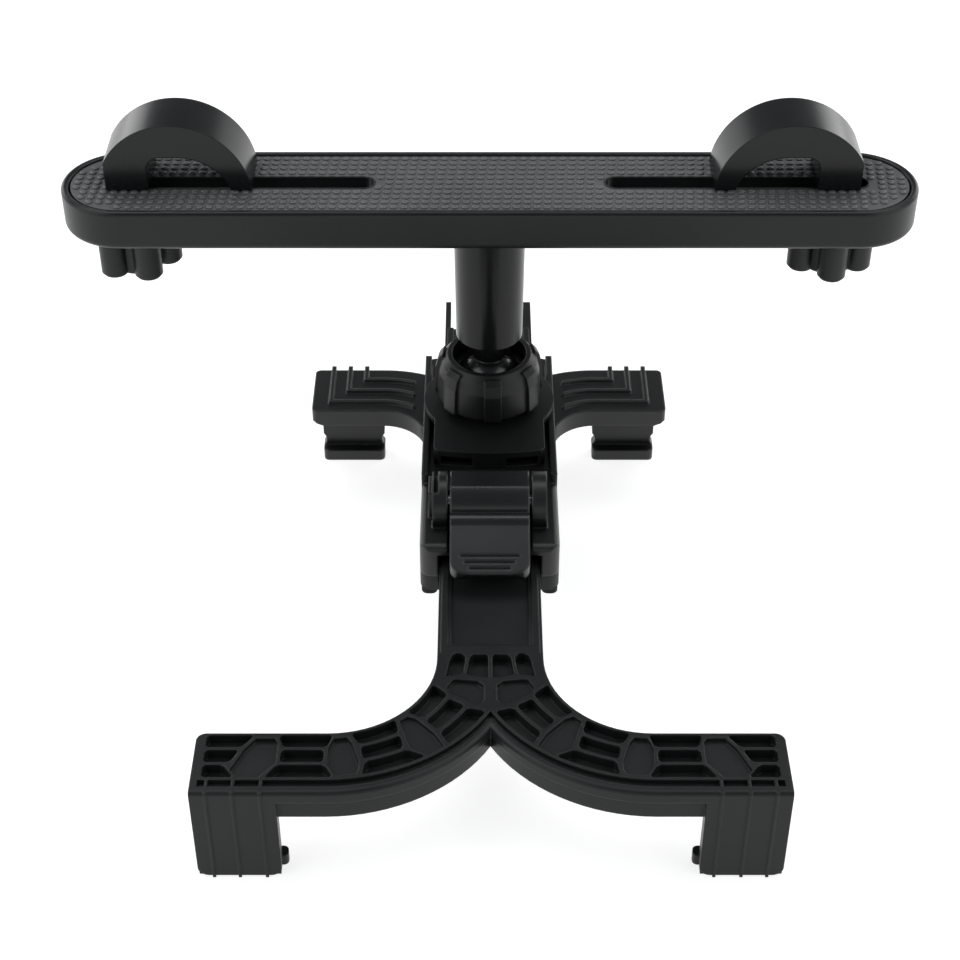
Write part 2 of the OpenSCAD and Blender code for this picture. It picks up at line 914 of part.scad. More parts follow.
module far_arm2d() {
    end = far_w / 2;
    translate([far_bend_x, far_y - far_arm_w])
    square([end - far_bend_x - 1.5, far_arm_w]);
    translate([far_bend_x, far_y - far_arm_w + 1.5])
    square([end - far_bend_x, far_arm_w - 3]);
    for (y = [far_y - far_arm_w + 1.5, far_y - 1.5])
        translate([end - 1.5, y])
        circle(1.5);
    intersection() {
        difference() {
            translate([far_bend_x, far_bend_y])
            circle(far_bend_r + far_arm_w, $fn = 96);
            translate([far_bend_x, far_bend_y])
            circle(far_bend_r);
        }
        translate([body_w / 2 - 2, far_bend_y])
        square([far_bend_x - body_w / 2 + 2, far_arm_w + far_bend_r + 1]);
    }
}

// One raised rib that runs from the far edge and turns along the arm
module far_trim(i) {
    corner_x = far_w / 2 - 4.5 - i * trim_pitch;
    corner_y = far_y - far_arm_w + 3.2 + i * (trim_pitch + 0.5);
    r = corner_y - far_bend_y;
    block([corner_x - trim_w, corner_y, hook_h - 1], [corner_x, far_y, hook_h + trim_h]);
    block([far_bend_x, corner_y, hook_h - 1], [corner_x, corner_y + trim_w, hook_h + trim_h]);
    translate([0, 0, hook_h - 1])
    linear_extrude(1 + trim_h)
    intersection() {
        translate([far_bend_x, far_bend_y])
        difference() {
            circle(r + trim_w, $fn = 96);
            circle(r, $fn = 96);
        }
        translate([body_w / 2 + 3, far_bend_y])
        square([far_bend_x - body_w / 2 - 3, r + trim_w + 1]);
    }
    block([corner_x - trim_w, far_y - 1, hook_h - far_arm_t], [corner_x, far_y + trim_h, hook_h + trim_h]);
}

// Wall of a hook seen from the front, with round lower corners
module hook_wall2d(x0, x1, z0, z1) {
    round_box2d([x0, z0], [x1, z1], hook_corner);
    translate([x0, (z0 + z1) / 2])
    square([x1 - x0, (z1 - z0) / 2]);
}

module far_hook() {
    x1 = far_w / 2 - far_inset;
    x0 = x1 - far_wall_w;
    scallop_r = 3;
    front_plate(far_y - hook_wall, far_y)
    difference() {
        hook_wall2d(x0, x1, 0, hook_h - 1);
        for (x = [x0 + scallop - scallop_r, x1 - scallop + scallop_r])
            translate([x, lip_t + 2])
            circle(scallop_r);
    }
    linear_extrude(lip_t)
    round_box2d([x0, far_y - far_lip], [x1, far_y - 0.4], 1.5);
}

module far_arm() {
    low = hook_h - far_arm_t;
    end = far_w / 2;
    translate([0, 0, seam_z])
    linear_extrude(hook_h - seam_z)
    far_arm2d();
    difference() {
        translate([0, 0, low])
        linear_extrude(far_arm_t - 1)
        intersection() {
            far_arm2d();
            translate([body_w / 2, -far_y])
            square([far_w, 3 * far_y]);
        }
        front_plate(-far_y, 2 * far_y)
        polygon([[end + 1, low - 1], [end - far_end_r - 1, low - 1], [end - far_end_r, low],
            [end - 0.3 * far_end_r, low + 0.3 * far_end_r], [end, low + far_end_r], [end + 1, low + far_end_r]]);
    }
    for (i = [0:2])
        far_trim(i);
    far_hook();
}

module cover_screw_places() {
    for (x = [-1, 1] * wall_x, y = [-body_front + cover_screw_in, body_back - cover_screw_in])
        translate([x, y, 0])
        children();
}

module housing() {
    bay = ear_in;
    rail_in = body_w / 2 - side_t;
    color(PLASTIC)
    difference() {
        union() {
            translate([0, 0, seam_z])
            linear_extrude(deck_z - seam_z)
            body2d(0);
            both_sides()
            block([rail_in, -rail_front, deck_z - 1], [body_w / 2, body_back - corner_r, deck_z + rail_h]);
            ears();
            ear_block();
            both_sides()
            far_arm();
        }
        deck_bevels();
        ear_slot();
        block([-channel_w / 2, -body_front - 1, seam_z - 1], [channel_w / 2, body_back + 1, ceiling_z]);
        block([-bay, -pivot_y - cam_r - 0.6, ceiling_z - 1], [bay, -pivot_y + cam_r + 0.6, deck_z + 1]);
        block([-bay, -body_front - 1, deck_z - 1.8], [bay, -pivot_y, deck_z + 1]);
        front_arch(seam_z - 1, deck_z - 2.6);
        translate([-body_w, -pivot_y, pivot_z])
        rotate([0, 90, 0])
        cylinder(h = 2 * body_w, r = pin_r + fit);
        base_screw_places() {
            translate([0, 0, ceiling_z - 1])
            cylinder(h = deck_z - ceiling_z + 2, r = small_screw_r + fit);
            translate([0, 0, ceiling_z - 1])
            cylinder(h = 1 + head_sunk + small_head_t, r = small_head_r + fit);
        }
        cover_screw_places()
        translate([0, 0, seam_z - 1])
        cylinder(h = 1 + cover_bite + head_sunk, r = small_screw_r + fit);
    }
}

module lower_cover() {
    color(PLASTIC)
    difference() {
        translate([0, 0, cover_z])
        linear_extrude(seam_z - cover_z)
        body2d(0);
        block([-channel_w / 2, -body_front - 1, channel_z], [channel_w / 2, body_back + 1, seam_z + 1]);
        cover_screw_places() {
            translate([0, 0, cover_z - 1])
            cylinder(h = seam_z - cover_z + 2, r = small_screw_r + fit);
            translate([0, 0, cover_z - 1])
            cylinder(h = 1 + head_sunk + small_head_t, r = small_head_r + fit);
        }
    }
}

module cover_screws() {
    color(STEEL)
    cover_screw_places()
    translate([0, 0, cover_z + head_sunk]) {
        cylinder(h = seam_z + cover_bite - cover_z - head_sunk, r = small_screw_r);
        cylinder(h = small_head_t, r = small_head_r);
    }
}

module tablet_pads() {
    pad_l = cover_screw_in - small_head_r - 1.2;
    color(RUBBER)
    for (x = [-1, 1] * wall_x, y = [-body_front + 0.4, body_back - 0.4 - pad_l])
        translate([x, y, cover_z - foot_pad_t])
        linear_extrude(foot_pad_t)
        round_box2d([-body_side / 2 + 0.3, 0], [body_side / 2 - 0.3, pad_l], 1.6);
}

// Cam lever

module cam2d() {
    difference() {
        circle(cam_r, $fn = 96);
        translate([-2 * cam_r, cam_flat])
        square([4 * cam_r, cam_r]);
        translate([cam_r - cam_relief, -2 * cam_r])
        square([cam_r, 4 * cam_r]);
    }
}

// Ridge and thumb plate: z = 0 at the pivot, and the plate's top runs straight to its end
module plate2d() {
    translate([-ridge_y, ridge_up - ridge_r])
    circle(ridge_r);
    translate([-plate_reach, -plate_drop])
    rotate([0, 0, plate_slope])
    translate([0.4, -plate_t])
    square([(plate_reach - ridge_y) / cos(plate_slope) - 1, plate_t]);
    translate([-ridge_y - 2.8, ridge_up - ridge_r - 1.9])
    rotate([0, 0, -16])
    square([ridge_y + 2.8, 2.4]);
}

// The lever from above: a curved end with round corners
module lever_plan2d() {
    half = lever_w / 2;
    arc_r = (half * half + plate_sag * plate_sag) / (2 * plate_sag);
    corner_y = -plate_reach + plate_sag / 2 + plate_corner_r;
    intersection() {
        translate([0, -plate_reach + arc_r])
        circle(arc_r, $fn = 180);
        union() {
            translate([-half, corner_y])
            square([2 * half, plate_reach + 2 * cam_r]);
            translate([-half + plate_corner_r, -plate_reach - 1])
            square([2 * (half - plate_corner_r), plate_reach + 2 * cam_r]);
            for (x = [-1, 1])
                translate([x * (half - plate_corner_r), corner_y])
                circle(plate_corner_r);
        }
    }
}

module lever_grooves() {
    for (i = [0:grooves - 1]) {
        u = plate_reach - 5 + i * groove_pitch;
        half = lever_w / 2 - 2.5 - i * 1.1;
        translate([0, -u, (plate_reach - u) * tan(plate_slope) - plate_drop])
        block([-half, -groove_w / 2, -0.4], [half, groove_w / 2, 2]);
    }
}

module cam_lever() {
    half = lever_w / 2;
    color(PLASTIC)
    translate([0, -pivot_y, pivot_z])
    difference() {
        intersection() {
            side_plate(-half, half) {
                cam2d();
                plate2d();
            }
            translate([0, 0, -2 * cam_r])
            linear_extrude(4 * cam_r)
            lever_plan2d();
        }
        translate([-half - 1, 0, 0])
        rotate([0, 90, 0])
        cylinder(h = lever_w + 2, r = pin_r + fit);
        lever_grooves();
    }
}

module lever_pin() {
    reach = ear_in + ear_t;
    color(STEEL)
    translate([-reach, -pivot_y, pivot_z])
    rotate([0, 90, 0])
    cylinder(h = 2 * reach, r = pin_r);
}

module brake_shoe() {
    half = stem_w / 2 - stem_rail - run_gap;
    low = hook_h - stem_sunk + slide_gap;
    high = pivot_z - cam_r - slide_gap;
    color(RUBBER)
    block([-half, -pivot_y - cam_r - run_gap, low], [half, -pivot_y + cam_r + run_gap, high]);
}

// Near jaw

// A place on an arm: s runs from the bend's start towards the stem, r from the bend's centre.
// On the bend the rows swell outwards, as the near edge does.
ref_r = bend_r + arm_w / 2;
function turn_at(sp) = max(sp, 0) / ref_r * 180 / PI;
function swollen(p) = p[1] + swell * (1 - cos(turn_at(p[0]))) * (p[1] - bend_r) / (groove_r - bend_r);
function arm_xy(p) = [bend_x - min(p[0], 0) - swollen(p) * sin(turn_at(p[0])), bend_y - swollen(p) * cos(turn_at(p[0]))];
function arm_steps(p, q) = max(p[0], q[0]) > 0 && abs(p[0] - q[0]) > 2 ? 3 : 1;
function arm_outline(pts) = [for (i = [0:len(pts) - 1])
    let (p = pts[i], q = pts[(i + 1) % len(pts)], n = arm_steps(p, q))
    for (k = [0:n - 1]) arm_xy(p + (q - p) * k / n)];

// Four sided pocket whose two ends may slant, with its corners cut by c
function pocket(r0, r1, a0, a1, b0, b1, c = 0.6) = arm_outline([
    [a0 + c, r0], [b0 - c, r0], [b0 + (b1 - b0) * c / (r1 - r0), r0 + c],
    [b1 - (b1 - b0) * c / (r1 - r0), r1 - c], [b1 - c, r1], [a1 + c, r1],
    [a1 - (a1 - a0) * c / (r1 - r0), r1 - c], [a0 + (a1 - a0) * c / (r1 - r0), r0 + c]]);

// Rows across the arm, measured from the bend's centre
row_t = (arm_w - rim_t - 3 * rib_t - groove_in - edge_w) / 3;
row_a = bend_r + rim_t;
row_b = row_a + row_t + rib_t;
row_c = row_b + row_t + rib_t;
row_end = row_c + row_t;
groove_r = row_end + rib_t;
edge_r = groove_r + groove_in;

// Places along the arm where the first column starts, and the height of its rows' middles
arm_end = -(near_w / 2 - bend_x);
col1 = arm_end + 2.3;

module arm_pockets_deep() {
    // First column, cut off by the slanting rib
    polygon(pocket(row_a, row_a + row_t, col1, col1, col1 + 10.7, col1 + 8));
    polygon(pocket(row_b, row_b + row_t, col1, col1, col1 + 7.6, col1 + 5.9));
    polygon(pocket(row_c, row_end, col1, col1, col1 + 4.4, col1 + 7.1));
    // Second column
    polygon(pocket(row_a, row_a + row_t, -10.9, -9.7, 1.6, 0));
    polygon(pocket(row_b, row_b + row_t, -10, -10.2, -0.5, -0.5));
    polygon(pocket(row_c, row_end, -10.8, -13.2, -0.2, 1.7));
    // Third column, on the bend
    polygon(pocket(row_a, row_a + row_t, 7, 8.6, 21.4, 19.4));
    polygon(pocket(row_b, row_b + row_t, 8.5, 8.3, 19.2, 17.8));
    polygon(pocket(row_c, row_end, 8.6, 7.2, 18.2, 20.6));
    // Fourth column
    polygon(pocket(row_a, row_a + row_t, 26.2, 27.4, 40.3, 38.2));
    polygon(pocket(row_b, row_b + row_t, 27.4, 27.1, 37, 36.6));
    polygon(pocket(row_c, row_end, 26.9, 25.7, 36.3, 37));
}

module arm_pockets_shallow() {
    low = row_a + 1;
    b = row_b;
    c = row_c;
    polygon(arm_outline([[col1 + 11, low], [col1 + 15.2, low], [col1 + 16, low + 1.4], [col1 + 16, c - 0.8],
        [col1 + 14.9, c + 0.7], [col1 + 13.4, c + 2.4], [col1 + 12.6, row_end], [col1 + 8, row_end],
        [col1 + 6, c + 1.5], [col1 + 6.9, c - 0.4], [col1 + 8.7, b - 0.3]]));
    polygon(arm_outline([[1.9, low], [5.6, low], [6.6, low + 1.8], [7.2, c], [6.9, c + 1.8], [6.2, row_end - 0.5],
        [2.4, row_end - 0.5], [1.4, c + 1.7], [0.4, c - 0.5], [0.4, b - 0.2], [1, low + 1.4]]));
    polygon(arm_outline([[22, low], [25, low], [26, low + 1.8], [25.8, c - 0.5], [25, c + 2.6], [24.6, row_end],
        [21.6, row_end], [20.4, c + 2], [19.1, c - 0.2], [19.6, b + 1.9], [20.4, b], [21.2, low + 1.3]]));
}

// Pockets at the foot of the stem, one half
module stem_pockets2d() {
    translate([0, bend_y]) {
        polygon([[10.3, -5.8], [6.8, -5.1], [6.3, -4.6], [5.8, -0.4], [5.8, 0.6], [6.6, 1.8], [7.9, 2],
            [8.9, 1.2], [9.5, -0.6]]);
        polygon([[0.45, -6.2], [5.1, -5.3], [5.5, -4.7], [5, -0.8], [4.8, 0.6], [4, 1.4], [0.9, 1.5], [0.45, 0.6]]);
    }
}

module stem_hexagon2d() {
    translate([0, bend_y])
    polygon([[10.1, -9.6], [8.7, -7], [7.9, -6.8], [2.9, -7.4], [1.5, -8.8], [1.5, -13.3], [2.2, -14.3], [3.6, -14.8],
        [5.9, -12.9], [9.6, -10.8]]);
}

// Outline of the jaw, set in by a distance along its near edge
module jaw2d(inset) {
    both_sides2d()
    difference() {
        union() {
            translate([bend_x, bend_y - outer_r + inset])
            square([near_w / 2 - bend_x, arm_w - inset - end_r]);
            translate([bend_x, bend_y - bend_r - 2 * end_r])
            square([near_w / 2 - bend_x - end_r, 2 * end_r]);
            translate([near_w / 2 - end_r, bend_y - bend_r - end_r])
            circle(end_r);
            intersection() {
                difference() {
                    translate([bend_x, bend_y + edge_swell])
                    circle(outer_r + edge_swell - inset, $fn = 128);
                    translate([bend_x, bend_y])
                    circle(bend_r, $fn = 96);
                }
                translate([0, bend_y - outer_r])
                square([bend_x, outer_r]);
            }
        }
        translate([-bend_x, -2 * near_y])
        square([bend_x, 4 * near_y]);
    }
}

module both_sides2d() {
    children();
    mirror([1, 0])
    children();
}

module near_beads() {
    x1 = near_w / 2;
    for (x = [3.6, 9.4, 15.5]) {
        at = x1 - x;
        block([at - bead_w / 2, -near_y - bead_t, 0], [at + bead_w / 2, -near_y + 1, hook_h]);
        block([at - bead_w / 2, -near_y - bead_t, 0], [at + bead_w / 2, -near_y + near_lip - 1, lip_t]);
        block([at - bead_w / 2, -near_y - bead_t, hook_h - 2], [at + bead_w / 2, -near_y + edge_w + groove_in + 0.3, hook_h]);
    }
}

module near_hook() {
    x1 = near_w / 2;
    x0 = x1 - near_hook_w;
    front_plate(-near_y, -near_y + hook_wall)
    hook_wall2d(x0, x1, bead_t, hook_h);
    translate([0, 0, bead_t])
    linear_extrude(lip_t - bead_t)
    round_box2d([x0 - lip_side, -near_y + near_lip / 2], [x1 - 0.2, -near_y + near_lip], 1.2);
    translate([0, 0, bead_t])
    linear_extrude(lip_t - bead_t)
    translate([x0 + 0.2, -near_y + 0.4])
    square([x1 - x0 - 0.4, near_lip - 2]);
    near_beads();
}

// Groove behind the bead that follows the near edge of both arms
module groove2d() {
    inner_swell = swell;
    outer_swell = (swell + edge_swell) / 2;
    both_sides2d() {
        intersection() {
            difference() {
                translate([bend_x, bend_y + outer_swell])
                circle(edge_r + outer_swell, $fn = 128);
                translate([bend_x, bend_y + inner_swell])
                circle(groove_r + inner_swell, $fn = 128);
            }
            translate([0, bend_y - outer_r])
            square([bend_x, outer_r]);
        }
        translate([bend_x, bend_y - edge_r])
        square([near_w / 2 - bend_x - 1.6, groove_in]);
    }
}

// Bevel on the outer side of that bead
module edge_bevels() {
    both_sides() {
        translate([0, -near_y, hook_h])
        side_plate(bend_x, near_w / 2 + 1)
        bevel2d(edge_bevel);
        intersection() {
            translate([bend_x, bend_y + edge_swell, hook_h])
            rotate_extrude($fn = 128)
            translate([outer_r + edge_swell, 0])
            mirror([1, 0])
            bevel2d(edge_bevel);
            block([0, bend_y - outer_r - 1, 0], [bend_x, bend_y, hook_h + 2]);
        }
    }
}

module stem() {
    half = stem_w / 2;
    web_end = fork_y - fork_len;
    difference() {
        block([-half, bend_y - 4, stem_z], [half, web_end, hook_h]);
        block([-half + stem_rail, bend_y + 4.7, hook_h - stem_sunk], [half - stem_rail, web_end + 1, hook_h + 1]);
        both_sides() {
            block([half - 0.7, bend_y + 2, hook_h - 0.6], [half + 1, web_end + 1, hook_h + 1]);
            block([half - stem_rail, bend_y + 4.7, hook_h - 0.5], [half - stem_rail + 0.7, web_end + 1, hook_h + 1]);
        }
    }
    prong(-half, left_prong, web_end);
    prong(half - right_prong, right_prong, web_end);
}

module prong(x, t, web_end) {
    side_plate(x, x + t)
    round_box2d([web_end - 4, stem_z], [fork_y, hook_h - 0.7], 1.4);
}

module near_jaw() {
    color(PLASTIC)
    difference() {
        union() {
            translate([0, 0, hook_h - lip_band])
            linear_extrude(lip_band)
            jaw2d(0);
            translate([0, 0, hook_h - arm_t])
            linear_extrude(arm_t - 1)
            jaw2d(set_back);
            stem();
            both_sides()
            near_hook();
        }
        translate([0, 0, hook_h - pocket_deep])
        linear_extrude(pocket_deep + 1)
        both_sides2d() {
            arm_pockets_deep();
            stem_pockets2d();
        }
        translate([0, 0, hook_h - pocket_shallow])
        linear_extrude(pocket_shallow + 1)
        both_sides2d() {
            arm_pockets_shallow();
            stem_hexagon2d();
        }
        difference() {
            translate([0, 0, hook_h - groove_deep])
            linear_extrude(groove_deep + 1)
            groove2d();
            both_sides()
            near_beads();
        }
        difference() {
            edge_bevels();
            both_sides()
            near_beads();
        }
    }
}

place() bar_shell();
place() grip_pad();
place() post();
place() post_screw();
place() ball_stud();
place() left_hook();
place() right_hook();
place() left_bolt();
place() right_bolt();
place() left_washer();
place() right_washer();
place() left_knob();
place() right_knob();
place() left_knob_nut();
place() right_knob_nut();
place() socket_base();
place() base_screws();
place() ball_seat();
place() collar_nut();
place() housing();
place() lower_cover();
place() cover_screws();
place() tablet_pads();
place() near_jaw();
place() cam_lever();
place() lever_pin();
place() brake_shoe();
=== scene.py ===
import json
import math

import bmesh
import bpy
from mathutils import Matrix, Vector


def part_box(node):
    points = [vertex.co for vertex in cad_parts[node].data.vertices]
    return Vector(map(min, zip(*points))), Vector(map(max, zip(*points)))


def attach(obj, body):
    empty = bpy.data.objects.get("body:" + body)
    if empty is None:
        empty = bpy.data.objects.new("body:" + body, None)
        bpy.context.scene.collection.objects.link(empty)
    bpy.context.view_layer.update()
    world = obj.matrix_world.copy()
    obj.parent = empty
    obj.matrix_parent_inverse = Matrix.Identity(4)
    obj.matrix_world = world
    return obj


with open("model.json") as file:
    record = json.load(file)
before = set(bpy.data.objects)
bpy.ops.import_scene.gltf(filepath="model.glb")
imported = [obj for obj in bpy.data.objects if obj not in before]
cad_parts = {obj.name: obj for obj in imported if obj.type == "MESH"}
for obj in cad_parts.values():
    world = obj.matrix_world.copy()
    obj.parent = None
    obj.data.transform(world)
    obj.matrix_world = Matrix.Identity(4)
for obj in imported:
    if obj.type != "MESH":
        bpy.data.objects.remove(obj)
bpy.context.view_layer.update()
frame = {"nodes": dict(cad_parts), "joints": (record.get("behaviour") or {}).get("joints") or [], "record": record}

MM = 0.001

# Camera: where the photograph was taken from, measured from the ball's axis and the floor
PHOTO_PX = 960
FOCAL_PX = 1930
SENSOR_MM = 36
NEAR_CLIP = 10 * MM
CAMERA_X = -2.4 * MM
CAMERA_BACK = 415.5 * MM
CAMERA_UP = 340 * MM
CAMERA_DOWN_DEG = 38.5

# Softboxes in metres and watts: place, size, power. All of them point at the part's middle
LIGHT_TARGET = Vector((0, 0, 0.05))
SOFTBOXES = {
    "left_softbox": ((-0.85, -0.35, 0.62), (1.1, 0.8), 4.6),
    "right_softbox": ((0.85, -0.35, 0.62), (1.1, 0.8), 4),
    "left_top_softbox": ((-0.33, 0.26, 0.9), (0.54, 0.58), 2.7),
    "right_top_softbox": ((0.33, 0.26, 0.9), (0.54, 0.58), 2.4),
    "left_back_softbox": ((-0.72, 0.75, 0.3), (0.5, 0.5), 1.6),
    "right_back_softbox": ((0.72, 0.75, 0.3), (0.5, 0.5), 1.6),
}
AMBIENT_COLOR = (0.9, 0.96, 1)
AMBIENT_STRENGTH = 0.16

# Round white floor and the low wall round it. The glow is only for the eye and for reflections
FLOOR_R = 3.5
FLOOR_SIDES = 96
WALL_H = 1.1
PAPER_COLOR = (0.55, 0.55, 0.55)
PAPER_GLOW = 0.77

# Moulded plastic: flow marks and how far they change the gloss, then the grain and soft edges
FLOW_SCALE = 60
FLOW_DETAIL = 4
FLOW_SPAN = (0.3, 0.7)
GLOSS_LESS = 0.05
GLOSS_MORE = 0.07
GRAIN_DETAIL = 3
GRAIN_STRENGTH = 0.35
EDGE_SAMPLES = 6

# Plated steel: its clouding, darkest and lightest colour, and least and most roughness
CLOUD_SCALE = 700
CLOUD_DETAIL = 2
STEEL_COLORS = ((0.36, 0.37, 0.38), (0.55, 0.55, 0.54))
STEEL_ROUGHNESS = (0.28, 0.45)

# Rubber studs on the pad: radius and height of each ring, from the foot up
STUD_PITCH_X = 2.46 * MM
STUD_PITCH_Y = 2.36 * MM
STUD_LEAN = 0.21 * MM
STUD_SIDES = 10
STUD_RINGS = ((0.98 * MM, 0), (0.86 * MM, 0.3 * MM), (0.48 * MM, 0.46 * MM))
STUD_SINK = 0.02 * MM
STUD_MARGIN = 0.2 * MM

# Plastic lining of the slots: a plastic rim round each slot, carried down the slot's walls as a dark sheet
# that is painted shade, standing in for the shade inside the slot. Middles of a slot's two ends, then the lining's
# inner and outer half widths, and how far it reaches above the pad's face and below it, through the bar's deck
SLOT_ENDS = (31 * MM, 90 * MM)
LIP_IN = 2.62 * MM
LIP_OUT = 3.1 * MM
LIP_UP = 0.1 * MM
LIP_DOWN = 4.5 * MM
LIP_STEPS = 12


def joint(name):
    return next(j for j in frame["joints"] if j["name"] == name)


BALL = Vector(joint("ball_tilt")["pos_m"])


def add_object(name, mesh, material):
    """Turn a bmesh into an object of the scene."""
    data = bpy.data.meshes.new(name)
    mesh.to_mesh(data)
    mesh.free()
    data.materials.append(material)
    obj = bpy.data.objects.new(name, data)
    bpy.context.collection.objects.link(obj)
    return obj


# Camera, light and floor

def make_camera():
    camera = bpy.data.cameras.new("photo_camera")
    camera.sensor_width = SENSOR_MM
    camera.lens = FOCAL_PX / PHOTO_PX * SENSOR_MM
    camera.clip_start = NEAR_CLIP
    obj = bpy.data.objects.new("photo_camera", camera)
    obj.location = (CAMERA_X, BALL.y - CAMERA_BACK, CAMERA_UP)
    obj.rotation_euler = (math.radians(90 - CAMERA_DOWN_DEG), 0, 0)
    bpy.context.collection.objects.link(obj)
    bpy.context.scene.camera = obj


def make_lights():
    for name, (place, size, watts) in SOFTBOXES.items():
        lamp = bpy.data.lights.new(name, "AREA")
        lamp.shape = "RECTANGLE"
        lamp.size, lamp.size_y = size
        lamp.energy = watts
        obj = bpy.data.objects.new(name, lamp)
        obj.location = place
        obj.rotation_euler = (LIGHT_TARGET - Vector(place)).to_track_quat("-Z", "Y").to_euler()
        obj.visible_camera = False
        bpy.context.collection.objects.link(obj)


def make_world():
    world = bpy.data.worlds.new("studio")
    bpy.context.scene.world = world
    world.use_nodes = True
    nodes, links = world.node_tree.nodes, world.node_tree.links
    nodes.clear()
    out = nodes.new("ShaderNodeOutputWorld")
    ambient = nodes.new("ShaderNodeBackground")
    ambient.inputs["Color"].default_value = (*AMBIENT_COLOR, 1)
    ambient.inputs["Strength"].default_value = AMBIENT_STRENGTH
    links.new(ambient.outputs[0], out.inputs[0])


def larger(nodes, links, first, second):
    """The larger one of two values."""
    pick = nodes.new("ShaderNodeMath")
    pick.operation = "MAXIMUM"
    links.new(first, pick.inputs[0])
    links.new(second, pick.inputs[1])
    return pick.outputs[0]


def seen_directly(nodes, links):
    """1 for rays from the camera, and for those that a glossy or clear surface passes on."""
    path = nodes.new("ShaderNodeLightPath").outputs
    seen = larger(nodes, links, path["Is Camera Ray"], path["Is Glossy Ray"])
    return larger(nodes, links, seen, path["Is Transmission Ray"])


def white_paper():
    """White paper that also glows where it is seen, so that the background is white."""
    material = bpy.data.materials.new("white_floor")
    material.use_nodes = True
    nodes, links = material.node_tree.nodes, material.node_tree.links
    nodes.clear()
    out = nodes.new("ShaderNodeOutputMaterial")
    paper = nodes.new("ShaderNodeBsdfDiffuse")
    paper.inputs["Color"].default_value = (*PAPER_COLOR, 1)
    glow = nodes.new("ShaderNodeEmission")
    glow.inputs["Strength"].default_value = PAPER_GLOW
    both = nodes.new("ShaderNodeAddShader")
    links.new(paper.outputs[0], both.inputs[0])
    links.new(glow.outputs[0], both.inputs[1])
    mix = nodes.new("ShaderNodeMixShader")
    links.new(seen_directly(nodes, links), mix.inputs[0])
    links.new(paper.outputs[0], mix.inputs[1])
    links.new(both.outputs[0], mix.inputs[2])
    links.new(mix.outputs[0], out.inputs[0])
    return material


def make_floor():
    """Round floor with a low wall, one sheet of paper."""
    mesh = bmesh.new()
    bmesh.ops.create_circle(mesh, cap_ends=True, radius=FLOOR_R, segments=FLOOR_SIDES)
    rim = [edge for edge in mesh.edges if edge.is_boundary]
    wall = bmesh.ops.extrude_edge_only(mesh, edges=rim)
    for vertex in (v for v in wall["geom"] if isinstance(v, bmesh.types.BMVert)):
        vertex.co.z += WALL_H
    floor = add_object("floor", mesh, white_paper())


# Materials

def new_material(name):
    """A material with its nodes, links and Principled shader."""
    material = bpy.data.materials.new(name)
    material.use_nodes = True
    nodes = material.node_tree.nodes
    return material, nodes, material.node_tree.links, nodes["Principled BSDF"]


def noise(nodes, links, scale, detail):
    """Noise that is fixed to the piece."""
    place = nodes.new("ShaderNodeTexCoord")
    cloud = nodes.new("ShaderNodeTexNoise")
    cloud.inputs["Scale"].default_value = scale
    cloud.inputs["Detail"].default_value = detail
    links.new(place.outputs["Object"], cloud.inputs["Vector"])
    return cloud.outputs["Fac"]


def vary(nodes, links, shader, pattern, span, colors, roughness):
    """Let a pattern carry the shader from one colour and roughness to another."""
    tint = nodes.new("ShaderNodeValToRGB")
    for stop, at, color in zip(tint.color_ramp.elements, span, colors):
        stop.position = at
        stop.color = (*color, 1)
    links.new(pattern, tint.inputs["Fac"])
    links.new(tint.outputs["Color"], shader.inputs["Base Color"])
    gloss = nodes.new("ShaderNodeMapRange")
    gloss.inputs["To Min"].default_value, gloss.inputs["To Max"].default_value = roughness
    links.new(pattern, gloss.inputs["Value"])
    links.new(gloss.outputs["Result"], shader.inputs["Roughness"])


def moulded(name, color, roughness, grain=0.02, grain_size=900, edge=0.35, variation=0.12,
            specular=0.28):
    """Satin moulded plastic: fine grain, faint flow marks in gloss, soft edges that catch the
    light. The grain's depth and the edges' radius are in millimetres."""
    material, nodes, links, shader = new_material(name)
    shader.inputs["Specular IOR Level"].default_value = specular
    flow = noise(nodes, links, FLOW_SCALE, FLOW_DETAIL)
    shades = [[c * k for c in color] for k in (1 - variation, 1 + variation)]
    vary(nodes, links, shader, flow, FLOW_SPAN, shades,
         (roughness - GLOSS_LESS, roughness + GLOSS_MORE))
    soft_edge = nodes.new("ShaderNodeBevel")
    soft_edge.samples = EDGE_SAMPLES
    soft_edge.inputs["Radius"].default_value = edge * MM
    bump = nodes.new("ShaderNodeBump")
    bump.inputs["Strength"].default_value = GRAIN_STRENGTH
    bump.inputs["Distance"].default_value = grain * MM
    links.new(noise(nodes, links, grain_size, GRAIN_DETAIL), bump.inputs["Height"])
    links.new(soft_edge.outputs["Normal"], bump.inputs["Normal"])
    links.new(bump.outputs["Normal"], shader.inputs["Normal"])
    return material


def plated(name):
    """Zinc-plated steel, a little cloudy."""
    material, nodes, links, shader = new_material(name)
    shader.inputs["Metallic"].default_value = 1
    clouds = noise(nodes, links, CLOUD_SCALE, CLOUD_DETAIL)
    vary(nodes, links, shader, clouds, (0, 1), STEEL_COLORS, STEEL_ROUGHNESS)
    return material


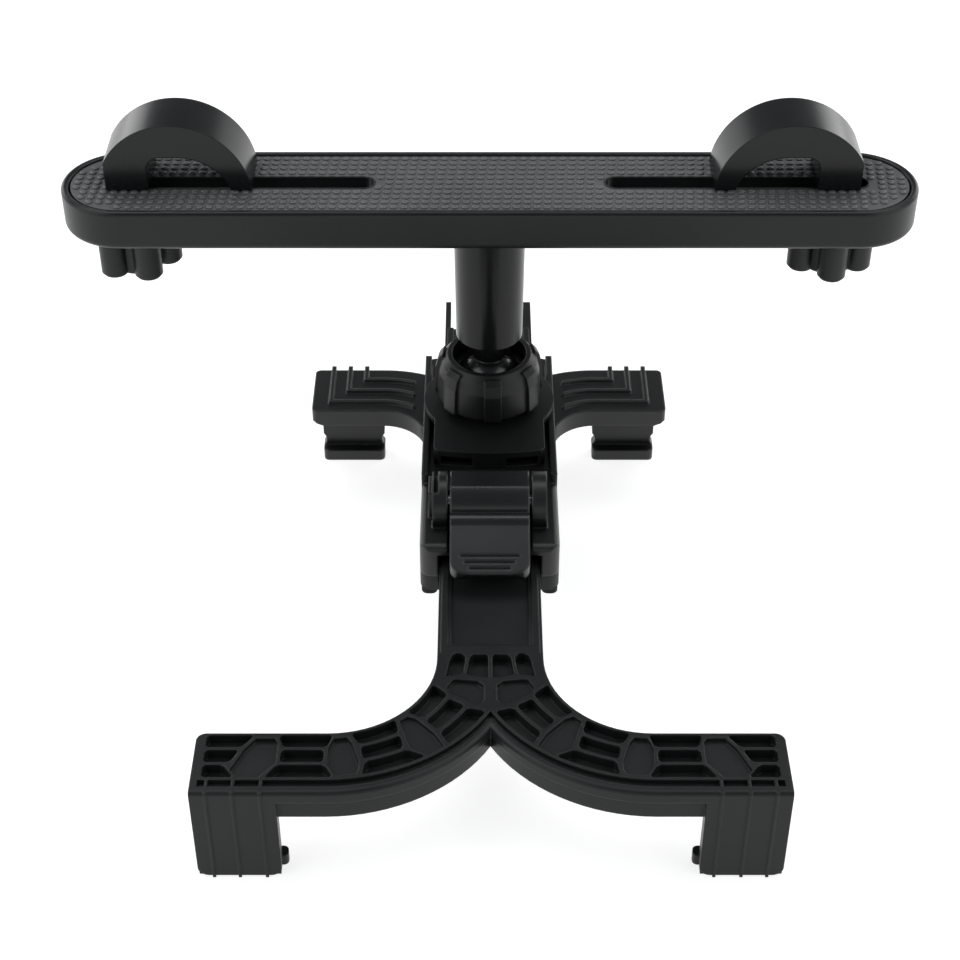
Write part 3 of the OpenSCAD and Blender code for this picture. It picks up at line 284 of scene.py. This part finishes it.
BLACK = (0.0072, 0.0081, 0.0086)
DEEP = (0.0066, 0.0072, 0.0076)
# The jaw is the same black plastic as the rest. Its colour is painted lighter as a painted highlight, standing in
# for the light that its ridges and pockets catch.
JAW_PAINTED_LIGHT_BLACK = (0.0125, 0.0135, 0.014)
GRIP_GREY = (0.086, 0.09, 0.093)
PAD_BLACK = (0.014, 0.014, 0.015)
NYLON_BLACK = (0.02, 0.02, 0.021)
MATERIALS = {
    "bar_plastic": moulded("bar_plastic", BLACK, 0.32, edge=0.5, specular=0.3),
    "post_plastic": moulded("post_plastic", DEEP, 0.22, specular=0.24),
    "ball_plastic": moulded("ball_plastic", DEEP, 0.2, grain=0.005, specular=0.6),
    "hook_plastic": moulded("hook_plastic", BLACK, 0.24, edge=0.45, specular=0.3),
    "knob_plastic": moulded("knob_plastic", BLACK, 0.42, specular=0.34),
    "socket_plastic": moulded("socket_plastic", DEEP, 0.42, specular=0.4),
    "collar_plastic": moulded("collar_plastic", DEEP, 0.38, edge=0.5, specular=0.3),
    "housing_plastic": moulded("housing_plastic", DEEP, 0.34, edge=0.8, specular=0.45),
    "cover_plastic": moulded("cover_plastic", DEEP, 0.46, specular=0.3),
    # jaw: black painted lighter, a painted highlight
    "jaw_plastic": moulded("jaw_plastic", JAW_PAINTED_LIGHT_BLACK, 0.36, edge=0.6, specular=0.22),
    "lever_plastic": moulded("lever_plastic", BLACK, 0.28, edge=0.8, specular=0.6),
    "grip_rubber": moulded("grip_rubber", GRIP_GREY, 0.42, grain=0.03, grain_size=1400,
                           edge=0.15, specular=0.5),
    "pad_rubber": moulded("pad_rubber", PAD_BLACK, 0.7, grain=0.04, grain_size=1400, edge=0.3),
    "seat_nylon": moulded("seat_nylon", NYLON_BLACK, 0.4),
    "steel": plated("steel"),
}


def dress_nodes():
    slots = {row["node"]: row["material_slot"] for row in frame["record"]["subparts"]}
    for name, obj in frame["nodes"].items():
        obj.data.materials.clear()
        obj.data.materials.append(MATERIALS[slots[name]])


# Studs on the rubber pad

def add_stud(mesh, x, y, z):
    """Low round dome, whose foot is sunk in the pad."""
    turns = [2 * math.pi * i / STUD_SIDES for i in range(STUD_SIDES)]
    rings = [[mesh.verts.new((x + radius * math.cos(turn), y + radius * math.sin(turn), z + height))
              for turn in turns] for radius, height in STUD_RINGS]
    for low, high in zip(rings, rings[1:]):
        for i in range(STUD_SIDES):
            j = (i + 1) % STUD_SIDES
            mesh.faces.new((low[i], low[j], high[j], high[i])).smooth = True
    mesh.faces.new(rings[-1]).smooth = True
    mesh.faces.new(rings[0][::-1])


def on_pad(x, y, low, high):
    """Whether a stud stands whole on the pad: inside its round ends and clear of the slots."""
    radius = (high.y - low.y) / 2
    foot = STUD_RINGS[0][0]
    aside = y - (low.y + high.y) / 2
    past = max(abs(x) - (high.x - radius), 0)
    along = max(SLOT_ENDS[0] - abs(x), abs(x) - SLOT_ENDS[1], 0)
    in_slot = math.hypot(along, aside) < LIP_OUT + foot
    return math.hypot(past, aside) < radius - STUD_MARGIN - foot and not in_slot


def make_studs():
    low, high = (Vector(c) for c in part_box("grip_pad"))
    middle_y = (low.y + high.y) / 2
    mesh = bmesh.new()
    rows = int((high.y - low.y) / STUD_PITCH_Y / 2) + 1
    columns = int(high.x / STUD_PITCH_X) + 1
    for row in range(-rows, rows + 1):
        for column in range(-columns, columns + 1):
            x = column * STUD_PITCH_X + row * STUD_LEAN
            y = middle_y + row * STUD_PITCH_Y
            if on_pad(x, y, low, high):
                add_stud(mesh, x, y, high.z - STUD_SINK)
    studs = add_object("pad_studs", mesh, MATERIALS["grip_rubber"])
    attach(studs, "bar")


# Lining of the slots: plastic rim, with painted shade down the walls

def slot_ring(side, half, middle_y):
    """Points of a slot's outline at one half width, all the way round."""
    near, far = SLOT_ENDS
    points = []
    for middle, start in ((far, -90), (near, 90)):
        for i in range(LIP_STEPS + 1):
            turn = math.radians(start + 180 / LIP_STEPS * i)
            x = side * (middle + half * math.cos(turn))
            points.append((x, middle_y + half * math.sin(turn)))
    return points


def make_slot_rims_and_shade_linings():
    low, high = (Vector(c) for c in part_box("grip_pad"))
    middle_y = (low.y + high.y) / 2
    section = ((LIP_OUT, -LIP_DOWN), (LIP_OUT, LIP_UP), (LIP_IN, LIP_UP), (LIP_IN, -LIP_DOWN))
    for side, name in ((-1, "left_slot_rim_and_shade_lining"), (1, "right_slot_rim_and_shade_lining")):
        mesh = bmesh.new()
        loops = [[mesh.verts.new((x, y, high.z + up)) for x, y in slot_ring(side, half, middle_y)]
                 for half, up in section]
        for loop, after in zip(loops, loops[1:] + loops[:1]):
            for i in range(len(loop)):
                j = (i + 1) % len(loop)
                mesh.faces.new((loop[i], loop[j], after[j], after[i]))
        bmesh.ops.recalc_face_normals(mesh, faces=mesh.faces)
        # Black plastic: the rim above the pad is real, and the sheet down the slot's walls is painted shade.
        lip = add_object(name, mesh, MATERIALS["bar_plastic"])
        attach(lip, "bar")


make_camera()
make_lights()
make_world()
make_floor()
dress_nodes()
make_studs()
make_slot_rims_and_shade_linings()

scene = bpy.context.scene
scene.view_settings.view_transform = "Standard"
